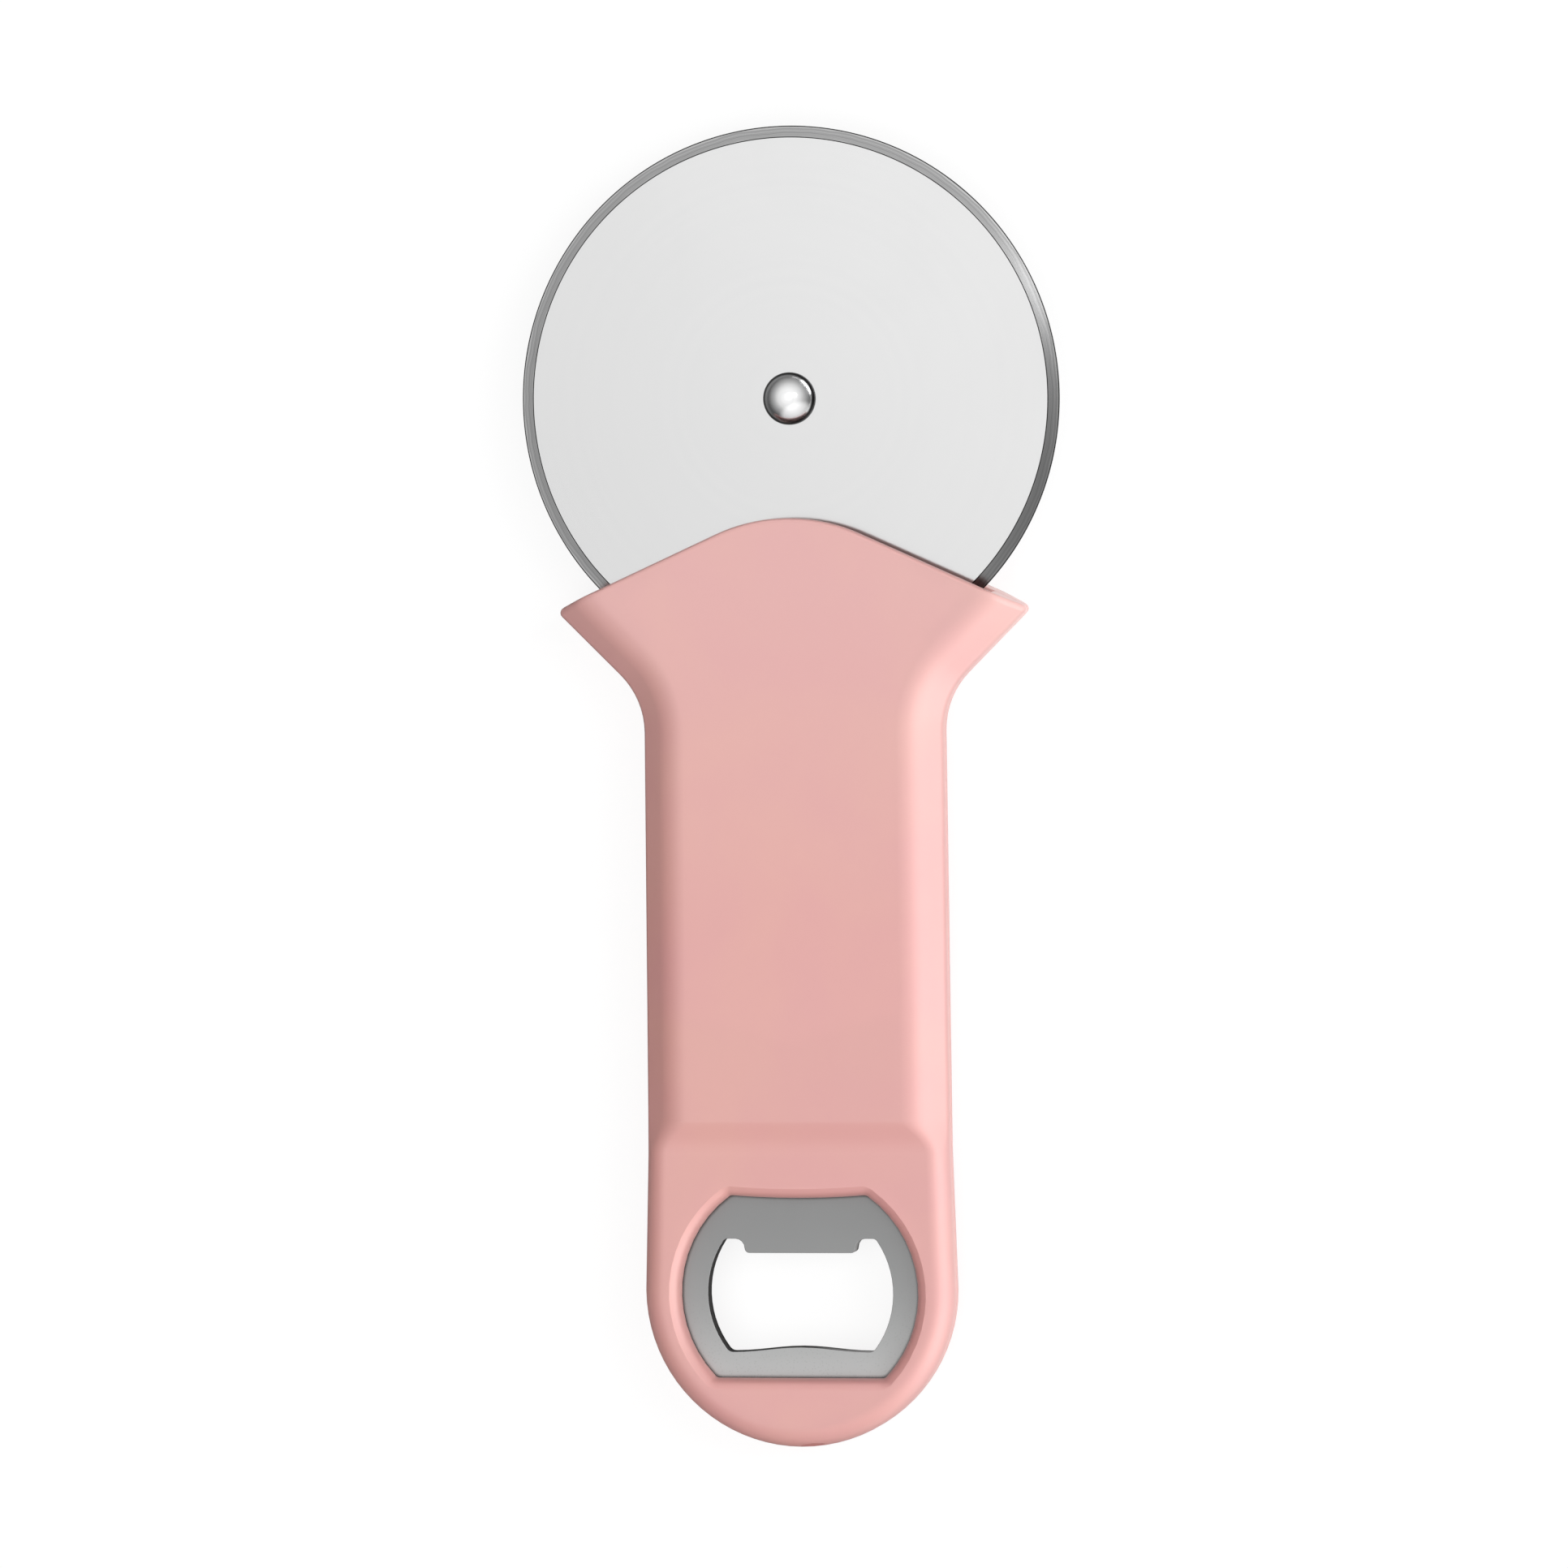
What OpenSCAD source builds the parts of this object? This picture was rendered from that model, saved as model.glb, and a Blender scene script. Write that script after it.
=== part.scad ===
// Pizza cutter with a bottle opener let into the end of its handle.
// It lies on its back: X runs across it, Y runs from the handle's end up to the
// wheel, and Z points out of the front face. The origin is on the resting plane,
// under the middle of the whole length. The modules below are drawn round the
// axle, with zero height at the plane where the two handle shells meet.

/* [Wheel] */
// Diameter of the cutting wheel
wheel_d = 80; // [66:1:96]
// Thickness of the wheel's sheet
wheel_t = 1.2; // [0.8:0.1:1.6]
// Width of the bevel ground on each side of the edge
bevel_w = 1.75; // [1:0.05:3]
// Thickness left at the cutting edge
edge_t = 0.2; // [0.1:0.05:0.4]

/* [Axle] */
// Diameter of the domed head in front of the wheel
head_d = 7.7; // [6.4:0.1:12]
// Height of the dome above its straight rim
dome_h = 2.2; // [1.6:0.1:3]
// Height of the head's straight rim
head_rim = 0.4; // [0.2:0.1:1]
// Outside diameter of the sleeve that the wheel turns on
sleeve_d = 5; // [4:0.1:6]
// Diameter of the pin pressed into the sleeve
pin_d = 3; // [2:0.1:3.6]
// Diameter of the sleeve's rear head
rear_head_d = 9; // [7.5:0.1:11]
// Thickness of the sleeve's rear head
rear_head_t = 1.2; // [0.8:0.1:2]
// Outside diameter of the washer between wheel and arm
washer_d = 12; // [10:0.5:14]
// Thickness of that washer
washer_t = 0.5; // [0.3:0.1:0.8]
// Radial clearance of the wheel on its sleeve
turn_gap = 0.05; // [0.02:0.01:0.1]
// Clearance at each face of the wheel
side_gap = 0.05; // [0.03:0.01:0.1]

/* [Arm] */
// Thickness of the steel arm behind the wheel
arm_t = 2; // [1.5:0.1:2.5]
// Diameter of the arm's round end at the axle
arm_head_d = 15; // [14:0.5:20]
// Width of the tang inside the handle
tang_w = 20; // [16:0.5:24]
// Length of tang held below the wheel's well
tang_len = 42; // [36:1:48]

/* [Guard] */
// Distance from the axle down to the top of the guard's arch
guard_drop = 17.5; // [15:0.1:21]
// Radius of the crown of the arch
arch_r = 25.8; // [20:0.1:31]
// Slope of the straight flanks of the arch, in degrees
arch_slope = 24.3; // [20:0.1:28]
// Width across the sharp corners of the guard
guard_w = 70.6; // [64:0.2:78]
// Radius that blunts those corners
tip_r = 0.8; // [0.6:0.1:2]
// Angle at which the guard flares out of the grip, in degrees
flare_angle = 45; // [40:1:50]
// Radius of the hollow between flare and grip
flare_r = 12; // [9:0.5:14]

/* [Handle] */
// Length from the top of the arch to the round end
handle_len = 136.8; // [128:0.1:160]
// Thickness of the handle over both shells
handle_t = 12; // [11.6:0.1:14]
// Width of the grip below the guard
grip_w = 44.6; // [40:0.1:48]
// Width of the grip at the step down to the opener
waist_w = 45; // [40:0.1:48]
// Radius of the round end
end_r = 23.1; // [22:0.1:26]
// Width of the bevel along the edge, seen from the front
edge_w = 4.3; // [3.9:0.1:4.8]
// Height of that bevel
edge_h = 3.9; // [3.5:0.1:4.1]
// Rounding where the bevel meets the face
brow_r = 6; // [4:0.1:7]
// Rounding where the bevel meets the side
flank_r = 2; // [1.4:0.1:2.4]
// Rounding where the face meets the arch
arch_round = 0.6; // [0.4:0.1:1]
// Thickness of the guard's front wall over the wheel
lip_t = 1.2; // [1:0.1:2.2]
// Thickness of the moulded walls
wall = 2; // [1.6:0.1:2.2]
// Thickness of the stiffening ribs
rib_t = 1.4; // [1:0.1:2]
// Number of ribs across each shell
rib_count = 3; // [2:1:5]
// Diameter of the locating posts
post_d = 3.8; // [3:0.1:4.2]
// Width of the chamfer along the seam of the shells
seam_w = 0.2; // [0.1:0.05:0.4]

/* [Opener] */
// Distance from the round end to the middle of the opener
opener_rise = 22.7; // [22:0.1:24]
// Thickness of the opener plate
plate_t = 3; // [2.4:0.1:3.4]
// How far the plate reaches under the plastic all round
plate_lap = 2; // [1.5:0.1:2.4]
// Radius of the round sides of the window over the plate
window_r = 17.7; // [16.5:0.1:17.9]
// Height of the window's top edge above its middle
window_top = 14.5; // [13:0.1:14.8]
// Depth of the window's bottom edge below its middle
window_low = 12.5; // [11.5:0.1:13]
// Sag of the window's top edge at its middle
window_sag = 0.4; // [0.2:0.1:0.8]
// Rounding of the window's rim
rim_r = 2.1; // [1.6:0.1:2.3]
// How far the face drops round the opener
step_drop = 1.6; // [1.2:0.1:1.8]
// Length over which it drops
step_len = 5; // [4:0.1:6.5]
// Plastic between the window's rim and the foot of that drop
step_clear = 4.2; // [3:0.1:5]
// Radius of the round sides of the opening in the plate
mouth_r = 13.8; // [13:0.1:14.4]
// Height of the lifting lip's edge above the opener's middle
lip_rise = 5.9; // [4.8:0.1:6.4]
// Half of the lip's width
lip_half = 8.3; // [7.6:0.1:8.8]
// Rounding of the lip's two corners
lip_corner_r = 0.7; // [0.4:0.1:1.2]
// Depth of the notch at each side of the lip
notch_d = 2.1; // [1.8:0.1:2.4]
// Rounding of the notches' outer corners
notch_r = 0.8; // [0.5:0.1:1.2]
// Depth of the opening's bottom corners below its middle
mouth_low = 8.7; // [7.5:0.1:9.5]
// Rounding of those corners
mouth_corner_r = 1.2; // [0.8:0.1:1.8]
// Rise of the opening's bottom edge at its middle
mouth_crown = 0.7; // [0.4:0.1:1.2]

/* [Hidden] */

// Surfaces
pink = [0.90, 0.70, 0.68];
steel = [0.90, 0.90, 0.90];
blasted = [0.60, 0.61, 0.61];
nylon = [0.93, 0.93, 0.90];

// Clearances
well_gap = 1.5;         // between the wheel's edge and its well
tang_gap = 0.1;         // round the tang in its channel
plate_gap = 0.1;        // round the opener plate in its pocket
socket_gap = 0.1;       // between a post and its socket, on the radius
hole_gap = 0.2;         // between a post and its hole in the tang
rib_gap = 0.2;          // between the ribs of the two shells
overrun = 1;            // by which a cut runs past what it cuts
skin = 0.02;            // by which fused solids run into each other
rim_lift = 0.1;         // by which the rim's rounding passes the face it ends in

// Places, measured from the axle and from the seam
wheel_r = wheel_d / 2;
half_t = handle_t / 2;
side_flat = half_t - edge_h;
edge_angle = atan2(edge_h, edge_w);
grip_half = grip_w / 2;
waist_half = waist_w / 2;
end_y = -guard_drop - handle_len;
end_mid = end_y + end_r;
opener_y = end_y + opener_rise;
whole_len = wheel_r - end_y;
axle_y = whole_len / 2 - wheel_r;
well_r = wheel_r + well_gap;
plate_half = plate_t / 2;

// The stack on the axle, upwards from the arm, which lies in the back shell
arm_top = -tang_gap;
arm_base = arm_top - arm_t;
channel = arm_t + 2 * tang_gap;
washer_top = arm_top + washer_t;
wheel_low = washer_top + side_gap;
wheel_top = wheel_low + wheel_t;
head_low = wheel_top + side_gap;
slot_top = half_t - lip_t;
pin_len = head_low - arm_base;

// The dome's sphere
head_r = head_d / 2;
dome_r = (head_r * head_r + dome_h * dome_h) / (2 * dome_h);

// The arch and the flare
arch_y = -guard_drop - arch_r;
tip_x = guard_w / 2;
flank_top = arch_y + arch_r / cos(arch_slope);
tip_y = flank_top - tip_x * tan(arch_slope);
flare_x = grip_half + flare_r;
flare_y = tip_y + (sin(flare_angle) * (flare_x - tip_x) - flare_r) / cos(flare_angle);

// The step down to the opener, from its top to its foot
recess_h = half_t - step_drop;
step_foot = opener_y + window_top + rim_r + step_clear;
step_head = step_foot + step_len;
fall_share = 0.8;       // by which the step sets in sharply and ends softly

// The hollow of each shell
hollow_half = grip_half - wall;
hollow_top = half_t - wall;
hollow_foot = step_head + wall;
hollow_start_share = 0.8;
hollow_start = -well_r * hollow_start_share;
hollow_head = -well_r - wall;

// The posts: two through the tang, two beside its end and one in the round end
post_r = post_d / 2;
boss_r = post_r + wall - socket_gap;
tang_foot = -well_r - tang_len;
tang_post_shares = [0.3, 0.72];
low_post_share = 0.62;
low_post_y = tang_foot + (hollow_foot - tang_foot) * low_post_share;
end_post_y = (end_y + opener_y - window_low - plate_lap) / 2;
tang_posts = [for (s = tang_post_shares) [0, -well_r - tang_len * s]];
low_posts = [for (s = [-1, 1]) [s * hollow_half * low_post_share, low_post_y]];
end_posts = [[0, end_post_y]];
post_sink_share = 0.6;
post_sink = half_t * post_sink_share;
end_sink_share = 0.4;
end_sink = half_t * end_sink_share;

// How finely the moulded surfaces are drawn
crown_steps = 9;
flank_steps = 5;
tip_steps = 5;
flare_steps = 2;
hollow_steps = 8;
grip_steps = 2;
fall_steps = 8;
recess_steps = 2;
end_steps = 20;
side_steps = 5;
brow_arc_steps = 7;
rim_steps = 5;
brow_steps = 6;
corner_steps = 4;
cheek_steps = 14;
well_steps = 72;
fine = 96;

// A point turned about a centre
function turned(c, r, a) = c + r * [cos(a), sin(a)];

// Points of an arc from one angle towards another, without its last point
function arc(c, r, from, to, n) =
    [for (i = [0:n - 1]) turned(c, r, from + (to - from) * i / n)];

// Points of a straight run, without its last point
function run(from, to, n) = [for (i = [0:n - 1]) from + (to - from) * i / n];

// Where the guard's flank, let in by a, meets its flare, let in by w
function guard_corner(w, a) =
    let (top = flank_top - a / cos(arch_slope),
         foot = tip_y - tip_x * tan(flare_angle) + w / cos(flare_angle),
         x = (top - foot) / (tan(arch_slope) + tan(flare_angle)))
    [x, top - x * tan(arch_slope)];

// Right half of the handle's outline, from the arch's crown to the round end,
// let in by w at the sides and by a along the arch
function half_outline(w, a) =
    let (corner = guard_corner(w + tip_r, a + tip_r),
         crown_end = turned([0, arch_y], arch_r - a, 90 - arch_slope),
         flank_end = turned(corner, tip_r, 90 - arch_slope),
         flare_start = turned(corner, tip_r, flare_angle - 90),
         bend = [flare_x, flare_y],
         flare_end = turned(bend, flare_r + w, 90 + flare_angle),
         grip_start = [grip_half - w, flare_y],
         end_start = [end_r - w, end_mid],
         foot = [waist_half - w, step_foot],
         head_share = (step_head - flare_y) / (step_foot - flare_y),
         head = grip_start + (foot - grip_start) * head_share)
    concat(arc([0, arch_y], arch_r - a, 90, 90 - arch_slope, crown_steps),
           run(crown_end, flank_end, flank_steps),
           arc(corner, tip_r, 90 - arch_slope, flare_angle - 90, tip_steps),
           run(flare_start, flare_end, flare_steps),
           arc(bend, flare_r + w, 90 + flare_angle, 180, hollow_steps),
           run(grip_start, head, grip_steps),
           run(head, foot, fall_steps),
           run(foot, end_start, recess_steps),
           arc([0, end_mid], end_r - w, 0, -90, end_steps),
           [[0, end_mid - end_r + w]]);

// Right half of the window's outline round the opener's middle, let out by g
function half_window(g) =
    let (r = rim_r / 2 + g,
         high = window_top + g - r,
         low = window_low + g - r,
         reach = window_r + g - r,
         high_mid = [sqrt(reach * reach - high * high), high],
         low_mid = [sqrt(reach * reach - low * low), -low],
         high_turn = atan2(high, high_mid[0]),
         low_turn = atan2(-low, low_mid[0]))
    concat([for (i = [0:brow_steps - 1]) let (s = i / brow_steps)
                [high_mid[0] * s, window_top + g - window_sag * (1 - s * s)]],
           arc(high_mid, r, 90, high_turn, corner_steps),
           arc([0, 0], window_r + g, high_turn, low_turn, cheek_steps),
           arc(low_mid, r, low_turn, -90, corner_steps),
           run([low_mid[0], -window_low - g], [0, -window_low - g], brow_steps),
           [[0, -window_low - g]]);

// Right half of the opening in the plate: the lip's edge, an S-shaped turn into the
// notch, the round cheek and the crowned foot
function half_mouth() =
    let (scoop = notch_d - lip_corner_r,
         corner_y = lip_rise + lip_corner_r,
         notch_y = lip_rise + notch_d - notch_r,
         notch_reach = mouth_r - notch_r,
         notch_mid = [sqrt(notch_reach * notch_reach - notch_y * notch_y), notch_y],
         foot_y = mouth_low - mouth_corner_r,
         foot_reach = mouth_r - mouth_corner_r,
         foot_mid = [sqrt(foot_reach * foot_reach - foot_y * foot_y), -foot_y],
         notch_turn = atan2(notch_mid[1], notch_mid[0]),
         foot_turn = atan2(foot_mid[1], foot_mid[0]))
    concat([[0, lip_rise]],
           arc([lip_half - lip_corner_r, corner_y], lip_corner_r, -90, 0, corner_steps),
           arc([lip_half + scoop, corner_y], scoop, 180, 90, corner_steps),
           [[lip_half + scoop, lip_rise + notch_d]],
           arc(notch_mid, notch_r, 90, notch_turn, corner_steps),
           arc([0, 0], mouth_r, notch_turn, foot_turn, cheek_steps),
           arc(foot_mid, mouth_corner_r, foot_turn, -90, corner_steps),
           [for (i = [0:brow_steps]) let (s = 1 - i / brow_steps)
               [foot_mid[0] * s, mouth_crown * (1 + cos(180 * s)) / 2 - mouth_low]]);

// A half outline and its mirror image, as one closed loop
function whole(half) =
    let (last = len(half) - 1)
    concat(half, [for (i = [last - 1:-1:1]) [-half[i][0], half[i][1]]]);

// A solid through loops of equal length. Its ends are closed by strips across, or
// by fans round two hubs.
module loft(loops, hubs = []) {
    n = len(loops[0]);
    m = n / 2;
    top = (len(loops) - 1) * n;
    first = len(loops) * n;
    sides = [for (j = [0:len(loops) - 2]) for (i = [0:n - 1])
        [j * n + i, j * n + (i + 1) % n, (j + 1) * n + (i + 1) % n, (j + 1) * n + i]];
    strips = concat([[0, 1, n - 1]], [for (i = [1:m - 2]) [i, i + 1, n - i - 1, n - i]],
                    [[m - 1, m, m + 1]]);
    lower = len(hubs) > 0 ? [for (i = [0:n - 1]) [first, (i + 1) % n, i]]
        : [for (f = strips) [for (i = [len(f) - 1:-1:0]) f[i]]];
    upper = len(hubs) > 0 ? [for (i = [0:n - 1]) [first + 1, top + i, top + (i + 1) % n]]
        : [for (f = strips) [for (i = f) top + i]];
    polyhedron(points = concat([for (loop = loops) each loop], hubs),
               faces = concat(sides, lower, upper));
}

// Share of the step that is reached at y
function fallen(y) =
    let (s = pow(min(max((step_head - y) / step_len, 0), 1), fall_share)) s * s * (3 - 2 * s);

// One loop of the shell's outside, through an inset and height of the grip's edge
// and those of the thinner end's edge
function shell_loop(grip, end) =
    let (q = min(max((grip[1] - half_t + arch_round) / arch_round, 0), 1),
         a = arch_round * (1 - sqrt(1 - q * q)),
         along = whole(half_outline(grip[0], a)),
         round = whole(half_outline(end[0], a)))
    [for (i = [0:len(along) - 1])
        let (f = fallen(along[i][1]), p = along[i] * (1 - f) + round[i] * f)
        [p[0], p[1], grip[1] * (1 - f) + end[1] * f]];

// Where the rounding of the side starts over the seam
side_start = side_flat - flank_r * tan(45 - edge_angle / 2);

// Section of the grip's edge, as inset and height, from the side up to the face
function grip_section() =
    let (side_mid = [flank_r, side_start],
         face_mid = [edge_w + brow_r * tan(edge_angle / 2), half_t - brow_r])
    concat(arc(side_mid, flank_r, 180, 90 + edge_angle, side_steps),
           arc(face_mid, brow_r, 90 + edge_angle, 90, brow_arc_steps),
           [face_mid + [0, brow_r]]);

// Section of the thinner end's edge, a quarter round with as many points
function end_section() =
    let (r = recess_h - side_start, n = side_steps + brow_arc_steps)
    concat(arc([r, side_start], r, 180, 90, n), [[r, recess_h]]);

// Outside of one shell, from the seam up to the front face
module shell_outside() {
    grip = grip_section();
    end = end_section();
    loft(concat(
        [[for (p = whole(half_outline(seam_w, seam_w))) [p[0], p[1], 0]]],
        [shell_loop([0, seam_w], [0, seam_w])],
        [for (i = [0:len(grip) - 1]) shell_loop(grip[i], end[i])]));
}

// The flared hole in the shell over the opener plate
module window_cut() {
    translate([0, opener_y, 0])
    loft(concat(
        [[for (p = whole(half_window(0))) [p[0], p[1], -overrun]]],
        [for (i = [0:rim_steps]) let (t = 90 * i / rim_steps)
            [for (p = whole(half_window(rim_r * (1 - cos(t)))))
                [p[0], p[1], recess_h + rim_lift - rim_r + rim_r * sin(t)]]],
        [[for (p = whole(half_window(rim_r))) [p[0], p[1], half_t + overrun]]]),
        hubs = [[0, 0, -overrun], [0, 0, half_t + overrun]]);
}

// Section of the hollow across the grip, a wall's thickness inside the bevels
module hollow_section() {
    low = side_flat - wall * tan(45 - edge_angle / 2);
    top_half = grip_half - edge_w - wall * tan(edge_angle / 2);
    polygon([[-hollow_half, -overrun], [-hollow_half, low], [-top_half, hollow_top],
             [top_half, hollow_top], [hollow_half, low], [hollow_half, -overrun]]);
}

// The hollow of the grip, from the wheel's well to the step
module hollow() {
    difference() {
        translate([0, hollow_start, 0]) rotate([90, 0, 0])
            linear_extrude(hollow_start - hollow_foot) hollow_section();
        translate([0, 0, -2 * overrun])
            cylinder(r = well_r + wall, h = half_t + 3 * overrun, $fn = fine);
    }
}

// Ribs across and along the hollow
module ribs() {
    bay = (hollow_head - hollow_foot) / (rib_count + 1);
    for (i = [1:rib_count])
        translate([-grip_half, hollow_foot + bay * i - rib_t / 2, -2 * overrun])
            cube([grip_w, rib_t, handle_t]);
    for (s = [-1, 1])
        translate([s * hollow_half * low_post_share - rib_t / 2, end_y, -2 * overrun])
            cube([rib_t, handle_len, handle_t]);
}

// Upright cylinders at a list of places
module studs(places, r, low, high) {
    for (p = places)
        translate([p[0], p[1], low]) cylinder(r = r, h = high - low, $fn = fine);
}

// The arm and its tang between two heights, grown by g all round
module arm_body(g, low, high) {
    r = arm_head_d / 2 + g;
    half = tang_w / 2 + g;
    studs([[0, 0]], r, low, high);
    translate([0, 0, low]) linear_extrude(high - low)
        polygon([[r - skin, 0], [half, -guard_drop], [half, tang_foot - g],
                 [-half, tang_foot - g], [-half, -guard_drop], [skin - r, 0]]);
}

// What both shells share: outside, hollow, plate pocket and window, with a slot for
// the wheel or a channel for the tang, each of the given depth
module half_shell(slot = 0, groove = 0) {
    difference() {
        shell_outside();
        difference() {
            hollow();
            difference() {
                ribs();
                translate([-grip_w, end_y, -2 * overrun - skin])
                    cube([2 * grip_w, whole_len, rib_gap + 2 * overrun + skin]);
            }
            studs(concat(tang_posts, low_posts), boss_r, -2 * overrun, handle_t);
        }
        if (groove > 0)
            arm_body(tang_gap, -overrun, groove);
        translate([0, opener_y, -overrun])
            linear_extrude(plate_half + plate_gap + overrun) plate_outline(plate_gap);
        if (slot > 0)
            translate([0, 0, -overrun]) linear_extrude(slot + overrun)
                polygon(arc([0, 0], well_r, 0, -360, well_steps));
        window_cut();
    }
}

// Front half of the handle, with the slot for the wheel and the posts
module front_shell() {
    color(pink)
    union() {
        half_shell(slot_top);
        studs(tang_posts, post_r, -post_sink, hollow_top);
        studs(low_posts, post_r, -post_sink, hollow_top);
        studs(end_posts, post_r, -end_sink, wall);
    }
}

// Back half of the handle, with the sockets for the posts
module back_shell() {
    color(pink)
    mirror([0, 0, 1])
    difference() {
        half_shell(groove = channel);
        studs(concat(tang_posts, low_posts), post_r + socket_gap,
              -overrun, post_sink + socket_gap);
        studs(end_posts, post_r + socket_gap, -overrun, end_sink + socket_gap);
    }
}

// Outline of the opener plate round its middle, grown by g all round
module plate_outline(g) {
    reach = plate_lap + g;
    intersection() {
        circle(r = window_r + reach, $fn = fine);
        translate([-window_r - reach, -window_low - reach])
            square([2 * (window_r + reach), window_low + window_top + 2 * reach]);
    }
}

// Stamped steel plate that lifts the crown cap
module opener_plate() {
    color(blasted)
    translate([0, opener_y, -plate_half])
    linear_extrude(plate_t)
    difference() {
        plate_outline(0);
        polygon(whole(half_mouth()));
    }
}

// Steel arm: round at the axle, with the tang's two holes
module wheel_arm() {
    color(steel)
    difference() {
        arm_body(0, arm_base, arm_top);
        studs([[0, 0]], sleeve_d / 2, arm_base - overrun, overrun);
        studs(tang_posts, post_r + hole_gap, arm_base - overrun, overrun);
    }
}

// Sleeve with its flat head behind the arm
module axle_sleeve() {
    ease = rear_head_t / 4;
    back = arm_base - rear_head_t;
    color(steel)
    rotate_extrude($fn = fine)
    polygon([[pin_d / 2, back], [rear_head_d / 2 - ease, back],
             [rear_head_d / 2, back + ease], [rear_head_d / 2, arm_base],
             [sleeve_d / 2, arm_base], [sleeve_d / 2, head_low],
             [pin_d / 2, head_low]]);
}

// Pin with the domed head in front of the wheel
module axle_pin() {
    color(steel)
    rotate_extrude($fn = fine)
    union() {
        translate([0, arm_base]) square([pin_d / 2, pin_len + skin]);
        translate([0, head_low]) square([head_r, head_rim]);
        intersection() {
            translate([0, head_low + head_rim + dome_h - dome_r])
                circle(r = dome_r, $fn = fine);
            translate([0, head_low + head_rim]) square([head_r, dome_h + overrun]);
        }
    }
}

// Thin washer that keeps the wheel off the arm
module spacer_washer() {
    color(nylon)
    translate([0, 0, arm_top])
    difference() {
        cylinder(d = washer_d, h = washer_t, $fn = fine);
        studs([[0, 0]], sleeve_d / 2 + turn_gap, -overrun, washer_t + overrun);
    }
}

// Steel disc, ground on both sides to a thin edge
module cutting_wheel() {
    land = edge_t / 2;
    middle = (wheel_low + wheel_top) / 2;
    bore_r = sleeve_d / 2 + turn_gap;
    color(steel)
    rotate_extrude($fn = fine)
    polygon([[bore_r, wheel_low], [wheel_r - bevel_w, wheel_low],
             [wheel_r, middle - land], [wheel_r, middle + land],
             [wheel_r - bevel_w, wheel_top], [bore_r, wheel_top]]);
}

// Carries a piece from the axle to its place over the origin
module placed() {
    translate([0, axle_y, half_t]) children();
}

placed() front_shell();
placed() back_shell();
placed() opener_plate();
placed() wheel_arm();
placed() axle_sleeve();
placed() axle_pin();
placed() spacer_washer();
placed() cutting_wheel();
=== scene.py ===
"""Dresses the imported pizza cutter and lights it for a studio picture.

The cutter lies on its back with the wheel towards +Y and its front face towards
+Z, in metres. The handle's two halves, the opener's plate and the wheel's arm
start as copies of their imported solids, so every outline stays where the solid
has it. The turned parts are made new, ring by ring, round the axle.

Lengths that a text gives without a unit are in millimetres, and angles in degrees.
"""

import logging
import math
from contextlib import contextmanager
from dataclasses import dataclass, field
from enum import Enum
from typing import Callable, Iterator

import bmesh
import bpy
from mathutils import Matrix, Vector


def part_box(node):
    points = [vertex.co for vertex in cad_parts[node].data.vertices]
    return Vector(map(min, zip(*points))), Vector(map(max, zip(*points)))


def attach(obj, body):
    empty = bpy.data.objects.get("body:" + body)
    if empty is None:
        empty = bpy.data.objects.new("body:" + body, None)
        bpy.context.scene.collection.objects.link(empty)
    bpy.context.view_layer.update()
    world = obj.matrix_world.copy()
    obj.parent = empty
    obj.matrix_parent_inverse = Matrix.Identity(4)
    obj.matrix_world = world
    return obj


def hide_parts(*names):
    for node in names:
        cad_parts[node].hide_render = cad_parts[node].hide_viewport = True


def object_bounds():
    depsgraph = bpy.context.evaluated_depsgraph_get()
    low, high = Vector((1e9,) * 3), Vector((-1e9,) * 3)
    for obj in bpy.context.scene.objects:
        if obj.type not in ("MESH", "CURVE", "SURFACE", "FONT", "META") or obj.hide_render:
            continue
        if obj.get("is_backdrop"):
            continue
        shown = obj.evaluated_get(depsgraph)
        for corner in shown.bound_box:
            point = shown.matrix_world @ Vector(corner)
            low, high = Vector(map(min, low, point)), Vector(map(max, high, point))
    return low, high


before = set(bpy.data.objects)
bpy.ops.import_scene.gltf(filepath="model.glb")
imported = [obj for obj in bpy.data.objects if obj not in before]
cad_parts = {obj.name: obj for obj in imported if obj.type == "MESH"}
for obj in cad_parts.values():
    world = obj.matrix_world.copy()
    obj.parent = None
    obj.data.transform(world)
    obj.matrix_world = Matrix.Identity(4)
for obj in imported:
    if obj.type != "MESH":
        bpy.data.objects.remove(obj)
CAD_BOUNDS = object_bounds()

LOG = logging.getLogger("pizza_cutter")
Colour = tuple[float, float, float]
Direction = tuple[float, float, float]
Span = tuple[float, float]
Ring = tuple[float, float]
Tones = tuple[tuple[float, float], ...]
Inputs = dict[str, float | None]
Socket = bpy.types.NodeSocket

# Lengths in metres: one millimetre, the gap that merging closes, how far off a
# point may be that still lies on a place, and the least step that a cut sees
MM = 0.001
WELD = 0.002 * MM
NEAR = 0.01 * MM
HAIR = 0.001 * MM

# Angles: faces that turn by less make one flat, and edges that turn by more are
# corners
FLAT = math.radians(0.2)
CORNER = math.radians(60)

# What a place is multiplied by to leave out its height
FLATTEN: Direction = (1.0, 1.0, 0.0)


class Body(Enum):
    """The bodies that pieces ride on."""

    HANDLE = "handle"
    WHEEL = "wheel"


class Slot(Enum):
    """The record's material slots."""

    PLASTIC = "pink_plastic"
    BLASTED = "blasted_steel"
    SHEET = "steel_sheet"
    RIVET = "rivet_steel"
    NYLON = "washer_nylon"
    WHEEL = "wheel_steel"


# Places on the solid


def box_in_mm(node: str) -> tuple[Vector, Vector]:
    """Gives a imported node's lowest and highest corners in millimetres."""
    low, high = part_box(node)
    return low / MM, high / MM


AXLE = sum(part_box("axle_pin"), Vector()).xy / 2
OPENING = Vector((0.0, -74.45 * MM))


# Steps shared by all pieces


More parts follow.
